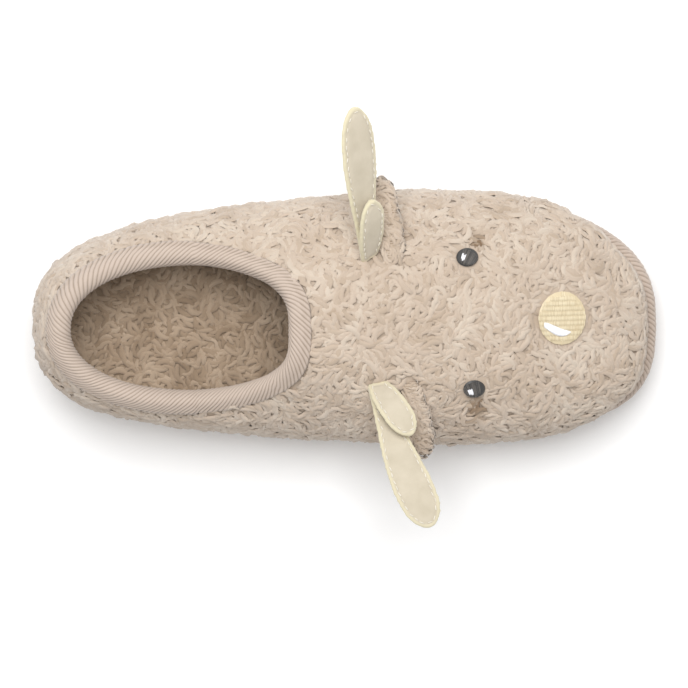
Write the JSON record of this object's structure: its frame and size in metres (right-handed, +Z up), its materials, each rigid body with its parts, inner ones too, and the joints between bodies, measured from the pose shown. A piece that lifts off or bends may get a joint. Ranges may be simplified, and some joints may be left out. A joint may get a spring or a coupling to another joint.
{
  "type": "animal slipper",
  "caption": "Closed-back fleece slipper shaped as an animal's head: hollow upper, ribbed collar tape, footbed, wrapped sole, felt antlers, ears, stitched face.",
  "frame": {"origin": "on the floor under the middle of the heel pad of the outsole", "axes": "+X along the foot to the toe, +Y to the outer side of this left slipper, +Z up"},
  "size_m": [0.2684, 0.1752, 0.0914],
  "materials": {
    "fleece": "curly beige pile",
    "lining_fleece": "curly beige pile, pressed",
    "rib_tape": "diagonal ribs",
    "felt": "smooth felt",
    "grey_thread": "satin stitch",
    "cream_thread": "filled stitch rows",
    "sole_rubber": "matt"
  },
  "bodies": {
    "root": {"outsole": "sole_rubber", "midsole_band": "rib_tape", "insole": "lining_fleece", "upper": "fleece", "collar_binding": "rib_tape", "antler_outer": "felt", "antler_inner": "felt", "ear_outer": "fleece", "ear_inner": "fleece", "eye_outer": "grey_thread", "eye_inner": "grey_thread", "nose": "cream_thread"}
  },
  "joints": []
}
